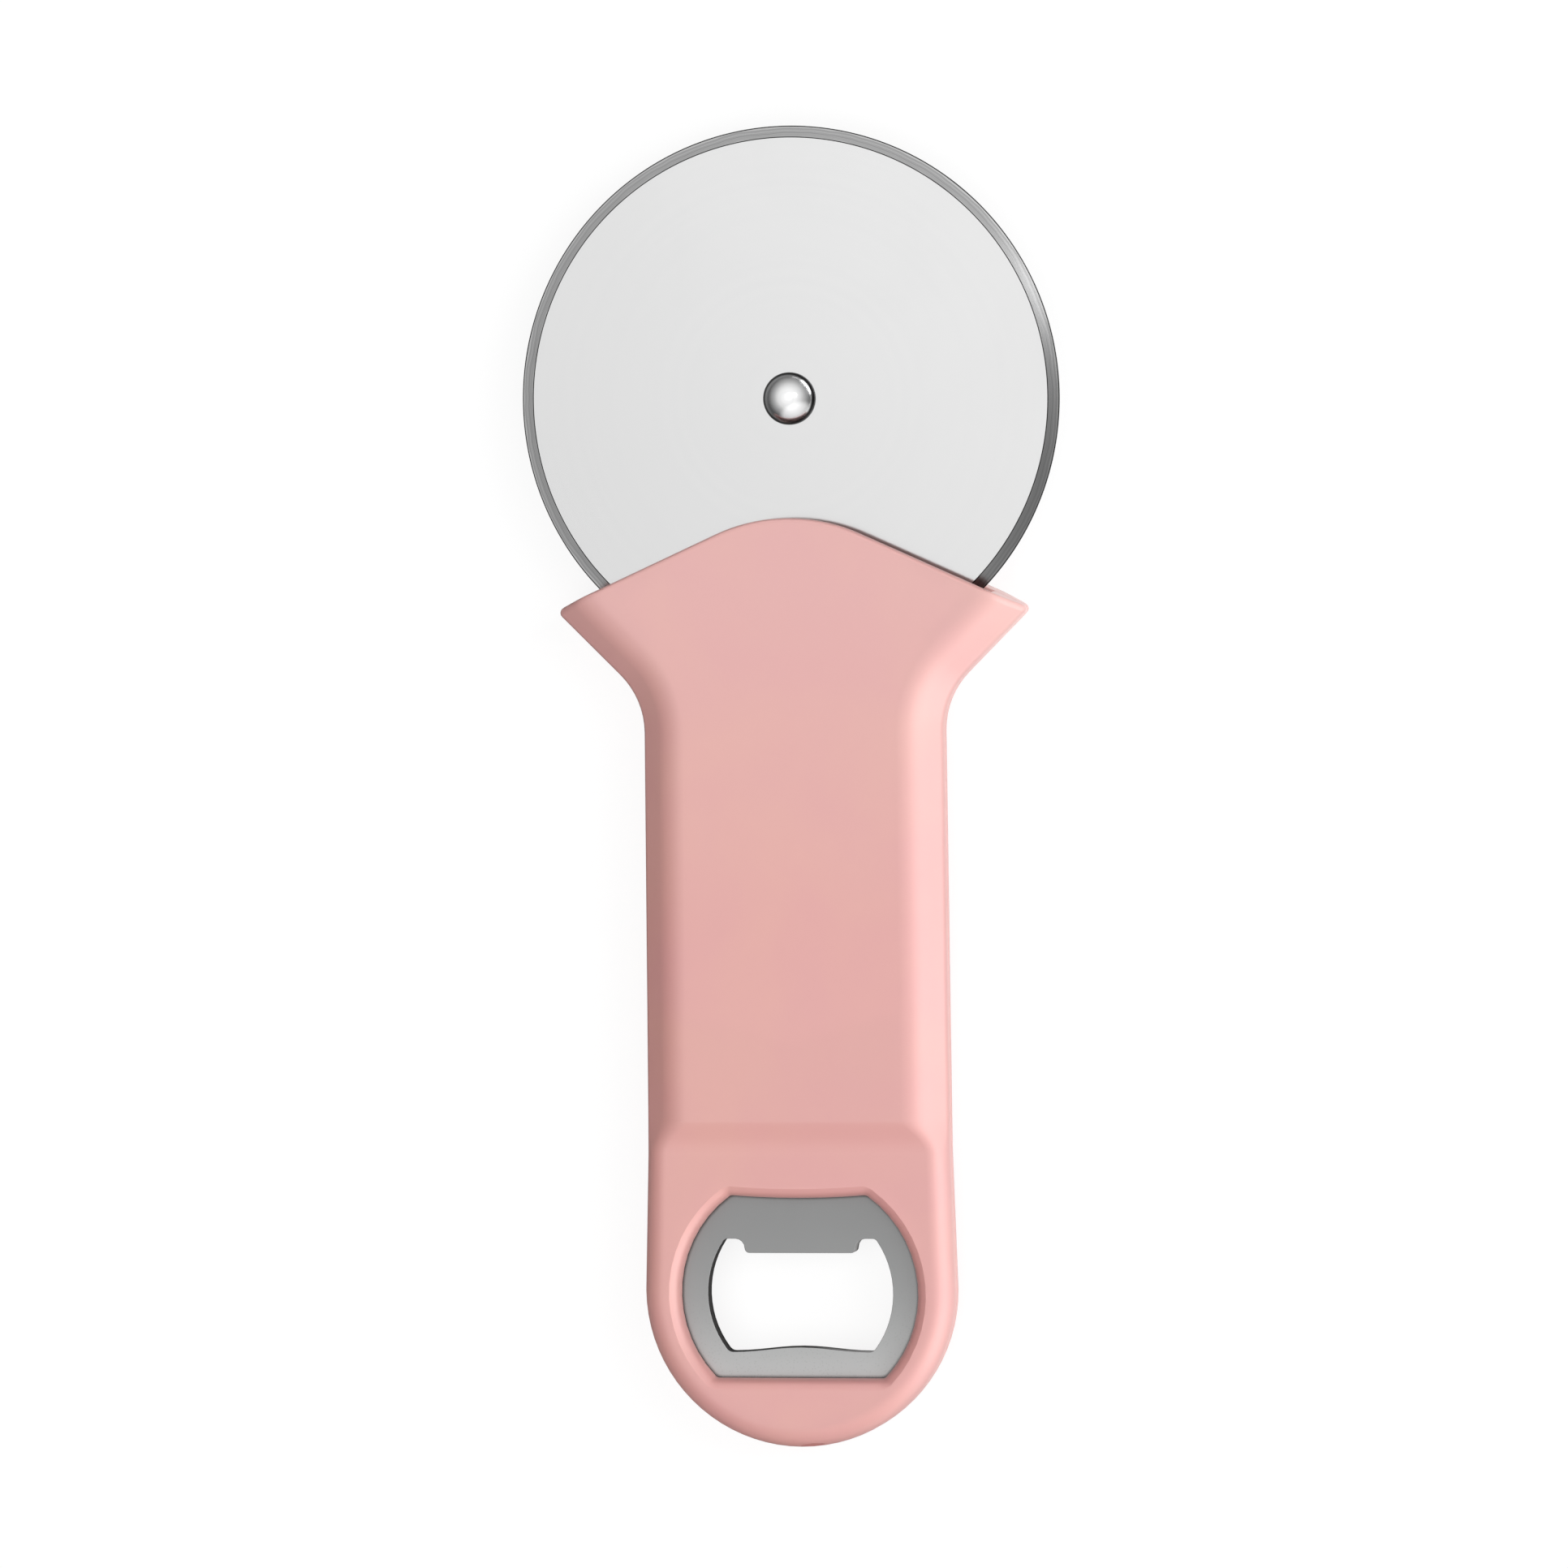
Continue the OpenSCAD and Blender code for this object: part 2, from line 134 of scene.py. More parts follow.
def select_only(piece: bpy.types.Object) -> None:
    """Leaves one object selected and active.

    Args:
        piece: the object.
    """
    bpy.ops.object.select_all(action="DESELECT")
    piece.select_set(True)
    bpy.context.view_layer.objects.active = piece


@contextmanager
def editing(piece: bpy.types.Object) -> Iterator[None]:
    """Opens a piece in edit mode with all of it selected, and closes it again.

    Args:
        piece: the object to edit.

    Yields:
        Nothing: the mesh is in edit mode until the block ends.
    """
    select_only(piece)
    bpy.ops.object.mode_set(mode="EDIT")
    bpy.ops.mesh.select_mode(type="VERT")
    bpy.ops.mesh.select_all(action="SELECT")
    yield
    bpy.ops.object.mode_set(mode="OBJECT")


def choose_edges(piece: bpy.types.Object, test: Callable[[bmesh.types.BMEdge], bool]) -> None:
    """Selects the edges that pass a test, in edit mode.

    Args:
        piece: the object in edit mode.
        test: says whether an edge is wanted.
    """
    bpy.ops.mesh.select_mode(type="EDGE")
    bpy.ops.mesh.select_all(action="DESELECT")
    for edge in bmesh.from_edit_mesh(piece.data).edges:
        if test(edge):
            edge.select_set(True)
    bmesh.update_edit_mesh(piece.data)


def copied(node: str, name: str) -> bpy.types.Object:
    """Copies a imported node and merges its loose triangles.

    Args:
        node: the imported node.
        name: the new piece's name.

    Returns:
        The copy, closed, with its faces outwards and without materials.
    """
    piece = bpy.data.objects.new(name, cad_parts[node].data.copy())
    bpy.context.scene.collection.objects.link(piece)
    piece.data.materials.clear()
    with editing(piece):
        bpy.ops.mesh.customdata_custom_splitnormals_clear()
        bpy.ops.mesh.remove_doubles(threshold=WELD)
        bpy.ops.mesh.normals_make_consistent(inside=False)
    return piece


def broken(piece: bpy.types.Object, width: float, segments: int,
           corner: float | None = None) -> None:
    """Breaks a piece's edges with a bevel.

    Args:
        piece: the object.
        width: the bevel's width.
        segments: how many faces it has across.
        corner: the least angle of the edges that it takes, in radians; without
            it the edges' own bevel weights choose them.
    """
    select_only(piece)
    bevel = piece.modifiers.new("break", "BEVEL")
    bevel.limit_method = "ANGLE" if corner else "WEIGHT"
    if corner:
        bevel.angle_limit = corner
    bevel.width = width * MM
    bevel.segments = segments
    bpy.ops.object.modifier_apply(modifier=bevel.name)


def finished(piece: bpy.types.Object, node: str, slot: Slot, crease: float,
             finishes: list["Finish"],
             choose: Callable[[bpy.types.MeshPolygon], int] | None = None,
             body: Body = Body.HANDLE) -> None:
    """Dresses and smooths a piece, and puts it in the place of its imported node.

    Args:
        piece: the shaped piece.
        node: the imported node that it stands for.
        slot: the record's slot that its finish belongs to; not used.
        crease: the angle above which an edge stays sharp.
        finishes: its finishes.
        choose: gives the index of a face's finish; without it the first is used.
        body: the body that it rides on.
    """
    piece.data.materials.clear()
    for finish in finishes:
        piece.data.materials.append(finish.build())
    for face in piece.data.polygons:
        face.material_index = choose(face) if choose else 0
    select_only(piece)
    bpy.ops.object.shade_smooth_by_angle(angle=math.radians(crease))
    even = piece.modifiers.new("even", "WEIGHTED_NORMAL")
    even.mode = "FACE_AREA_WITH_ANGLE"
    even.weight = 60
    even.keep_sharp = True
    bpy.ops.object.modifier_apply(modifier=even.name)
    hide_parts(node)
    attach(piece, body.value)
    LOG.info("%s: %d faces, rides on %s", piece.name, len(piece.data.polygons), body.value)


@dataclass
class Lathe:
    """Turns sections round the axle.

    Attributes:
        steps: the number of sides of each ring.
    """

    steps: int

    def turn(self, name: str, section: list[Ring], closed: bool) -> bpy.types.Object:
        """Draws a ring, and extrudes and resizes it through a section.

        Args:
            name: the new piece's name.
            section: radius and height of each ring in millimetres, in order.
            closed: whether the last ring joins the first; otherwise both ends
                run together in a pole.

        Returns:
            The turned piece.
        """
        radius, height = section[0]
        bpy.ops.object.select_all(action="DESELECT")
        bpy.ops.mesh.primitive_circle_add(
            vertices=self.steps, radius=radius * MM, fill_type="NOTHING",
            location=(AXLE.x, AXLE.y, height * MM))
        piece = bpy.context.active_object
        piece.name = name
        bpy.ops.object.transform_apply(location=True, rotation=True, scale=True)
        with editing(piece):
            for new_radius, new_height in section[1:]:
                grow = new_radius / radius
                rise = (0, 0, (new_height - height) * MM)
                bpy.ops.mesh.extrude_region_move(TRANSFORM_OT_translate={"value": rise})
                bpy.ops.transform.resize(
                    value=(grow, grow, 1), center_override=(AXLE.x, AXLE.y, new_height * MM))
                radius, height = new_radius, new_height
            if closed:
                choose_edges(piece, lambda edge: edge.is_boundary)
                bpy.ops.mesh.bridge_edge_loops()
            else:
                self.pole(piece, section[0])
                self.pole(piece, section[-1])
            bpy.ops.mesh.select_all(action="SELECT")
            bpy.ops.mesh.normals_make_consistent(inside=False)
        return piece

    @staticmethod
    def pole(piece: bpy.types.Object, ring: Ring) -> None:
        """Closes an open end ring with a fan round a pole.

        Args:
            piece: the object in edit mode.
            ring: radius and height of the end ring.
        """
        radius, height = ring

        def on_ring(edge: bmesh.types.BMEdge) -> bool:
            """Says whether an open edge lies on the ring."""
            return edge.is_boundary and all(
                abs((v.co.xy - AXLE).length - radius * MM) < NEAR
                and abs(v.co.z - height * MM) < NEAR for v in edge.verts)

        choose_edges(piece, on_ring)
        bpy.ops.mesh.extrude_region_move()
        bpy.ops.mesh.merge(type="CENTER")


# Shader tools


class Net:
    """Adds and joins the nodes of one tree."""

    def __init__(self, tree: bpy.types.NodeTree) -> None:
        """Keeps the tree to add to."""
        self.tree = tree

    def add(self, kind: str, inputs: dict | None = None, **settings) -> bpy.types.Node:
        """Adds a node.

        Args:
            kind: the node's type.
            inputs: values or output sockets for its inputs, by name or index.
            **settings: the node's own settings.

        Returns:
            The new node.
        """
        node = self.tree.nodes.new(kind)
        for key, value in settings.items():
            setattr(node, key, value)
        for key, value in (inputs or {}).items():
            if isinstance(value, Socket):
                self.tree.links.new(value, node.inputs[key])
            else:
                node.inputs[key].default_value = value
        return node

    def maths(self, operation: str, *values: float | Socket) -> Socket:
        """Adds a Math node and gives its result."""
        return self.add("ShaderNodeMath", dict(enumerate(values)), operation=operation).outputs[0]

    def vectors(self, operation: str, *values: Direction | Socket) -> Socket:
        """Adds a Vector Math node and gives its vector, or its number where it has one."""
        node = self.add("ShaderNodeVectorMath", dict(enumerate(values)), operation=operation)
        return node.outputs["Value" if operation in ("LENGTH", "DOT_PRODUCT") else "Vector"]

    def noise(self, inputs: dict, **settings) -> Socket:
        """Adds a Noise Texture node and gives its level."""
        return self.add("ShaderNodeTexNoise", inputs, **settings).outputs["Fac"]

    def axis(self, place: Socket, letter: str) -> Socket:
        """Gives one coordinate of a place."""
        return self.add("ShaderNodeSeparateXYZ", {0: place}).outputs[letter]

    def scaled(self, place: Socket, scale: Direction) -> Socket:
        """Stretches a pattern's coordinates."""
        return self.add("ShaderNodeMapping", {"Vector": place, "Scale": scale}).outputs[0]

    def spread(self, value: Socket, low: float, high: float,
               start: float = 0.0, end: float = 1.0) -> Socket:
        """Maps a value from start and end to low and high.

        Args:
            value: the value to map.
            low: the result at start.
            high: the result at end.
            start: the value that gives low.
            end: the value that gives high.

        Returns:
            The mapped value's socket.
        """
        return self.add("ShaderNodeMapRange", {
            "Value": value, "From Min": start, "From Max": end,
            "To Min": low, "To Max": high}).outputs["Result"]

    def blend(self, factor: float | Socket, a: Colour | Socket, b: Colour | Socket,
              kind: str = "MIX") -> Socket:
        """Combines two colours.

        Args:
            factor: how much of the second colour there is.
            a: the first colour.
            b: the second colour.
            kind: Blender's name of the way.

        Returns:
            The combined colour's socket.
        """
        # The Mix node's colour sockets share their names with its other ones
        first, second, result = 6, 7, 2
        full = [c if isinstance(c, Socket) else (*c, 1.0) for c in (a, b)]
        return self.add("ShaderNodeMix", {0: factor, first: full[0], second: full[1]},
                        data_type="RGBA", blend_type=kind).outputs[result]

    def metal(self, colour: Socket, rough: Socket, normal: Socket) -> Socket:
        """Adds a metal's shader."""
        return self.add("ShaderNodeBsdfPrincipled", {
            "Base Color": colour, "Roughness": rough, "Metallic": 1.0,
            "Normal": normal}).outputs[0]


@dataclass(frozen=True)
class Effect:
    """A shader node group with named inputs and outputs.

    Attributes:
        name: the group's name.
        inputs: default of each number input, and none for a vector, by name.
        outputs: the names of its number outputs.
    """

    name: str
    inputs: Inputs
    outputs: tuple[str, ...]

    def build(self) -> bpy.types.NodeTree:
        """Makes the group.

        Returns:
            The group, made by the first call and found again by the others.
        """
        ready = bpy.data.node_groups.get(self.name)
        if ready:
            return ready
        tree = bpy.data.node_groups.new(self.name, "ShaderNodeTree")
        for label, default in self.inputs.items():
            kind = "NodeSocketVector" if default is None else "NodeSocketFloat"
            socket = tree.interface.new_socket(name=label, in_out="INPUT", socket_type=kind)
            if default is not None:
                socket.default_value = default
        for label in self.outputs:
            tree.interface.new_socket(
                name=label, in_out="OUTPUT", socket_type="NodeSocketFloat")
        net = Net(tree)
        source = net.add("NodeGroupInput")
        net.add("NodeGroupOutput", self.wire(net, source.outputs))
        return tree

    def wire(self, net: Net, given: bpy.types.NodeOutputs) -> dict[str, Socket]:
        """Joins the group's nodes; each effect has its own."""
        raise NotImplementedError

    def use(self, net: Net, **values) -> bpy.types.NodeOutputs:
        """Places the group in a material.

        Args:
            net: the material's nodes.
            **values: its inputs, with underscores for spaces.

        Returns:
            The group node's outputs.
        """
        inputs = {key.replace("_", " "): value for key, value in values.items()}
        return net.add("ShaderNodeGroup", inputs, node_tree=self.build()).outputs


@dataclass(frozen=True)
class Grain(Effect):
    """Fine grain, with a broad mottling of the same surface.

    Attributes:
        specks: specks per metre, as a share of the grains per metre.
        speck_size: where a speck starts and ends to fade, from its middle.
    """

    name: str = "grain"
    inputs: Inputs = field(default_factory=lambda: {
        "Vector": None, "Grains per metre": 3000.0, "Patches per metre": 60.0})
    outputs: tuple[str, ...] = ("Height", "Mottle", "Speck")
    specks: float = 0.45
    speck_size: Span = (0.05, 0.3)

    def wire(self, net: Net, given: bpy.types.NodeOutputs) -> dict[str, Socket]:
        """Joins three patterns: grain, specks and patches.

        Args:
            net: the group's nodes.
            given: the group's inputs.

        Returns:
            The group's outputs, by name.
        """
        fine = net.noise({"Vector": given["Vector"], "Scale": given["Grains per metre"],
                          "Detail": 2.0, "Roughness": 0.6})
        speck = net.add("ShaderNodeTexVoronoi", {
            "Vector": given["Vector"],
            "Scale": net.maths("MULTIPLY", given["Grains per metre"], self.specks)})
        patch = net.noise({"Vector": given["Vector"], "Scale": given["Patches per metre"],
                           "Detail": 3.0, "Roughness": 0.55, "Distortion": 0.4})
        dot = net.spread(speck.outputs["Distance"], 1.0, 0.0, *self.speck_size)
        return {"Height": fine, "Mottle": patch, "Speck": dot}


@dataclass(frozen=True)
class TurnedLines(Effect):
    """Lines round a centre, as grinding and turning leave them.

    Attributes:
        drifts: how many times per metre the lines wander.
        bands: broad bands, as a share of the lines.
    """

    name: str = "turned_lines"
    inputs: Inputs = field(default_factory=lambda: {
        "Vector": None, "Lines per metre": 5000.0, "Waver": 0.5})
    outputs: tuple[str, ...] = ("Height", "Tone")
    drifts: float = 180.0
    bands: float = 0.16

    def wire(self, net: Net, given: bpy.types.NodeOutputs) -> dict[str, Socket]:
        """Joins noises that run along the radius, with a little waver.

        Args:
            net: the group's nodes.
            given: the group's inputs.

        Returns:
            The group's outputs, by name.
        """
        flat = net.vectors("MULTIPLY", given["Vector"], FLATTEN)
        radius = net.vectors("LENGTH", flat)
        drift = net.noise({"Vector": flat, "Scale": self.drifts, "Detail": 2.0})
        along = net.maths("ADD", net.maths("MULTIPLY", radius, given["Lines per metre"]),
                          net.maths("MULTIPLY", drift, given["Waver"]))
        lines = net.noise({"W": along, "Scale": 1.0, "Detail": 3.0}, noise_dimensions="1D")
        bands = net.noise({"W": net.maths("MULTIPLY", along, self.bands), "Scale": 1.0,
                           "Detail": 1.0}, noise_dimensions="1D")
        return {"Height": lines, "Tone": bands}


@dataclass(frozen=True)
class Handling(Effect):
    """Faint smudges and rubbed places that change the gloss.

    Attributes:
        wipe: how the wiped streaks are stretched.
        wipes: streaks across one smudge.
    """

    name: str = "handling"
    inputs: Inputs = field(default_factory=lambda: {"Vector": None, "Size": 40.0})
    outputs: tuple[str, ...] = ("Mask",)
    wipe: Direction = (1.0, 0.25, 1.0)
    wipes: float = 6.0

    def wire(self, net: Net, given: bpy.types.NodeOutputs) -> dict[str, Socket]:
        """Crosses a broad noise with a stretched one.

        Args:
            net: the group's nodes.
            given: the group's inputs.

        Returns:
            The group's outputs, by name.
        """
        broad = net.noise({"Vector": given["Vector"], "Scale": given["Size"],
                           "Detail": 4.0, "Distortion": 0.8})
        wiped = net.noise({"Vector": net.scaled(given["Vector"], self.wipe),
                           "Scale": net.maths("MULTIPLY", given["Size"], self.wipes),
                           "Detail": 2.0})
        return {"Mask": net.maths("MULTIPLY", net.spread(broad, 0.0, 1.0, 0.4, 0.65),
                                  net.spread(wiped, 0.4, 1.0, 0.35, 0.65))}


GRAIN = Grain()
LINES = TurnedLines()
HANDLING = Handling()


# Finishes


@dataclass(frozen=True)
class Finish:
    """What every finish has: a name and the steps that all of them share."""

    name: str

    def build(self) -> bpy.types.Material:
        """Makes the material.

        Returns:
            The material, made by the first call and found again by the others.
        """
        ready = bpy.data.materials.get(self.name)
        if ready:
            return ready
        material = bpy.data.materials.new(self.name)
        material.use_nodes = True
        material.node_tree.nodes.clear()
        net = Net(material.node_tree)
        where = net.add("ShaderNodeTexCoord").outputs["Object"]
        net.add("ShaderNodeOutputMaterial", {"Surface": self.wire(net, where)})
        return material

    def wire(self, net: Net, where: Socket) -> Socket:
        """Joins the finish's nodes; each finish has its own."""
        raise NotImplementedError

    @staticmethod
    def about_axle(net: Net, where: Socket) -> Socket:
        """Centres a pattern on the axle."""
        return net.add("ShaderNodeMapping", {
            "Vector": where, "Location": (-AXLE.x, -AXLE.y, 0.0)}).outputs[0]

    @staticmethod
    def relief(net: Net, height: Socket, depth: float) -> Socket:
        """Turns a height into a normal."""
        return net.add("ShaderNodeBump", {
            "Height": height, "Distance": depth * MM, "Strength": 1.0}).outputs[0]


@dataclass(frozen=True)
class Plastic(Finish):
    """Satin moulded plastic with a fine texture.

    Attributes:
        light: the colour of its paler patches.
        deep: the colour of its fuller patches and specks.
        gloss: least and greatest roughness.
        depth: depth of the texture.
        painted_light_share: how much paler it is painted towards the wheel, as painted light.
        painted_light_span: along which part of it, from the middle.
        pale: the colour that the painted light pales it to.
        specks: how strong its specks are.
    """

    light: Colour = (0.806, 0.378, 0.334)
    deep: Colour = (0.790, 0.353, 0.334)
    gloss: Span = (0.40, 0.50)
    depth: float = 0.004
    painted_light_share: float = 0.08
    painted_light_span: Span = (-20.0, 30.0)
    pale: Colour = (0.9, 0.9, 0.9)
    specks: float = 0.10

    def wire(self, net: Net, where: Socket) -> Socket:
        """Mixes two near colours, pales them towards the wheel as painted light, and textures and
        rubs the surface.

        Args:
            net: the material's nodes.
            where: the place on the piece.

        Returns:
            The shader's socket.
        """
        grain = GRAIN.use(net, Vector=where, Grains_per_metre=2600.0, Patches_per_metre=45.0)
        rubbed = HANDLING.use(net, Vector=where, Size=28.0)
        patches = net.spread(grain["Mottle"], 0.0, 1.0, 0.35, 0.65)
        # Painted light: the plastic pales towards the wheel
        paler = net.spread(net.axis(where, "Y"), 0.0, self.painted_light_share,
                           *(y * MM for y in self.painted_light_span))
        colour = net.blend(paler, net.blend(patches, self.light, self.deep), self.pale)
        dots = net.maths("MULTIPLY", grain["Speck"], self.specks)
        return net.add("ShaderNodeBsdfPrincipled", {
            "Base Color": net.blend(dots, colour, self.deep),
            "Roughness": net.spread(rubbed["Mask"], self.gloss[1], self.gloss[0]),
            "IOR": 1.49, "Specular IOR Level": 1.0, "Coat Weight": 1.0, "Coat Roughness": 0.5,
            "Normal": self.relief(net, grain["Height"], self.depth)}).outputs[0]


@dataclass(frozen=True)
class TurnedSteel(Finish):
    """Bright steel with lines round the axle, and painted shade in rings and a sector where they
    are set.

    Attributes:
        light: the colour of its bright lines.
        dark: the colour of its dull lines.
        gloss: least and greatest roughness.
        lines: lines per metre.
        waver: how far the lines wander.
        depth: depth of the lines.
        streak: which pattern of the lines sets the colour.
        rings: radius and half width of rings of painted shade round the axle.
        shade_ring_colour: the colour of that painted shade.
        shade_ring_strength: how strong that painted shade is.
        dull: how much darker its sector of painted shade is.
        sector_shade_way: direction of that sector's middle.
        sector_shade_colour: the colour that the painted shade darkens to.
        smudges: what smudges add to the roughness.
    """

    light: Colour = (0.632, 0.632, 0.632)
    dark: Colour = (0.627, 0.627, 0.628)
    gloss: Span = (0.13, 0.14)
    lines: float = 5200.0
    waver: float = 0.8
    depth: float = 0.00003
    streak: str = "Tone"
    rings: tuple[Ring, ...] = ()
    shade_ring_colour: Colour = (0.02, 0.02, 0.02)
    shade_ring_strength: float = 0.97
    dull: float = 0.0
    sector_shade_way: Direction = (0.88, -0.475, 0.0)
    sector_shade_colour: Colour = (0.05, 0.05, 0.05)
    smudges: float = 0.04

    def wire(self, net: Net, where: Socket) -> Socket:
        """Draws the lines in colour, gloss and relief, and paints shade in a sector and in rings.

        Args:
            net: the material's nodes.
            where: the place on the piece.

        Returns:
            The shader's socket.
        """
        centred = self.about_axle(net, where)
        lines = LINES.use(net, Vector=centred, Lines_per_metre=self.lines, Waver=self.waver)
        smudge = HANDLING.use(net, Vector=where, Size=35.0)
        tone = net.spread(lines[self.streak], 0.0, 1.0, 0.3, 0.7)
        colour = net.blend(tone, self.dark, self.light)
        flat = net.vectors("MULTIPLY", centred, FLATTEN)
        # Painted shade: one sector darker, as the bevel there shows darker surroundings
        if self.dull:
            faced = net.vectors("DOT_PRODUCT", net.vectors("NORMALIZE", flat), self.sector_shade_way)
            colour = net.blend(net.spread(faced, 0.0, self.dull, 0.45, 1.0), colour,
                               self.sector_shade_colour)
        radius = net.vectors("LENGTH", flat)
        # Painted shade: dark rings, at the dome's rim and at the bevel's edges
        for place, half in self.rings:
            off = net.maths("ABSOLUTE", net.maths("SUBTRACT", radius, place * MM))
            ring = net.spread(off, self.shade_ring_strength, 0.0, 0.5 * half * MM, half * MM)
            colour = net.blend(ring, colour, self.shade_ring_colour)
        rough = net.maths("ADD", net.spread(lines["Height"], *self.gloss),
                          net.maths("MULTIPLY", smudge["Mask"], self.smudges))
        return net.metal(colour, rough, self.relief(net, lines["Height"], self.depth))


@dataclass(frozen=True)
class BlastedSteel(Finish):
    """Steel blasted to an even matt grey, with painted shade: darker at its straight top and
    paler towards the end.

    Attributes:
        far: its colour at the plate's straight top, darkened there as painted shade.
        near: its colour at the handle's end, paler there as painted light.
        fade: how late the painted shade pales on the way there, as a power.
        speck: the colour of its pits.
        specks: how strong its pits are.
        rough: its roughness.
        play: how much its roughness varies.
        depth: depth of the blasting.
        seam: width of the painted shade line where it goes under the plastic.
        contact_shade: the colour of that painted shade.
        contact_shade_strength: how strong that painted shade is.
        contact_shade_span: openness of the surface at which the painted shade is full and where
            it ends.
    """

    far: Colour = (0.278, 0.281, 0.281)
    near: Colour = (0.566, 0.571, 0.568)
    fade: float = 2.5
    speck: Colour = (0.30, 0.30, 0.30)
    specks: float = 0.35
    rough: float = 0.5
    play: float = 0.05
    depth: float = 0.006
    seam: float = 0.7
    contact_shade: Colour = (0.05, 0.048, 0.045)
    contact_shade_strength: float = 0.97
    contact_shade_span: Span = (0.47, 0.86)

    def wire(self, net: Net, where: Socket) -> Socket:
        """Paints shade along the plate's length and where it goes under the plastic, and pits it.

        Args:
            net: the material's nodes.
            where: the place on the piece.

        Returns:
            The shader's socket.
        """
        low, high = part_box("opener_plate")
        grain = GRAIN.use(net, Vector=where, Grains_per_metre=5200.0, Patches_per_metre=110.0)
        # Painted shade: the plate darkens towards its top and pales towards the handle's end
        share = net.spread(net.axis(where, "Y"), 0.0, 1.0, high.y, low.y)
        painted_shade = net.blend(net.maths("POWER", share, self.fade), self.far, self.near)
        pits = net.maths("MULTIPLY", grain["Speck"], self.specks)
        # Painted shade: a dark line where the plate goes under the plastic, read from occlusion
        occlusion = net.add("ShaderNodeAmbientOcclusion", {"Distance": self.seam * MM}, samples=8)
        line = net.spread(occlusion.outputs["AO"], self.contact_shade_strength, 0.0, *self.contact_shade_span)
        rough = net.spread(grain["Mottle"], self.rough - self.play, self.rough + self.play)
        return net.metal(net.blend(line, net.blend(pits, painted_shade, self.speck), self.contact_shade), rough,
                         self.relief(net, grain["Height"], self.depth))


@dataclass(frozen=True)
class PunchedEdge(Finish):
    """A punched wall: burnished near the top, torn and dull below.

    Attributes:
        bright: the colour of the burnished part.
        torn: the colour of the torn part.
        gloss: roughness of the torn and of the burnished part.
        share: the share of the wall's height that is torn.
        ragged: how far the line between them wanders, as such a share.
        soft: half the height over which one turns into the other, as such a share.
        streaks: how the streaks are stretched.
        depth: depth of the streaks.
    """

    bright: Colour = (0.50, 0.48, 0.47)
    torn: Colour = (0.12, 0.118, 0.115)
    gloss: Span = (0.55, 0.2)
    share: float = 0.45
    ragged: float = 0.15
    soft: float = 0.06
    streaks: Direction = (1.0, 1.0, 0.12)
    depth: float = 0.004

    def wire(self, net: Net, where: Socket) -> Socket:
        """Splits the wall by height, with a ragged line between.

        Args:
            net: the material's nodes.
            where: the place on the piece.

        Returns:
            The shader's socket.
        """
        low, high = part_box("opener_plate")
        streak = GRAIN.use(net, Vector=net.scaled(where, self.streaks),
                           Grains_per_metre=3200.0, Patches_per_metre=400.0)
        height = net.maths("ADD", net.spread(net.axis(where, "Z"), 0.0, 1.0, low.z, high.z),
                           net.spread(streak["Mottle"], -self.ragged, self.ragged))
        part = net.spread(height, 0.0, 1.0, self.share - self.soft, self.share + self.soft)
        return net.metal(net.blend(part, self.torn, self.bright), net.spread(part, *self.gloss),
                         self.relief(net, streak["Height"], self.depth))


@dataclass(frozen=True)
class BrushedSteel(Finish):
    """Rolled steel, brushed along its length.

    Attributes:
        light: the colour of its bright lines.
        dark: the colour of its dull lines.
        rough: its roughness.
        play: how much its roughness varies.
        smudges: what smudges add to it.
        brushing: how the grain is stretched.
        depth: depth of the lines.
    """

    light: Colour = (0.66, 0.66, 0.655)
    dark: Colour = (0.56, 0.56, 0.56)
    rough: float = 0.32
    play: float = 0.06
    smudges: float = 0.08
    brushing: Direction = (1.0, 0.02, 1.0)
    depth: float = 0.001

    def wire(self, net: Net, where: Socket) -> Socket:
        """Stretches the grain along the arm.

        Args:
            net: the material's nodes.
            where: the place on the piece.

        Returns:
            The shader's socket.
        """
        grain = GRAIN.use(net, Vector=net.scaled(where, self.brushing),
                          Grains_per_metre=4200.0, Patches_per_metre=500.0)
        smudge = HANDLING.use(net, Vector=where, Size=60.0)
        rough = net.maths(
            "ADD", net.spread(grain["Height"], self.rough - self.play, self.rough + self.play),
            net.maths("MULTIPLY", smudge["Mask"], self.smudges))
        return net.metal(net.blend(grain["Height"], self.dark, self.light), rough,
                         self.relief(net, grain["Height"], self.depth))


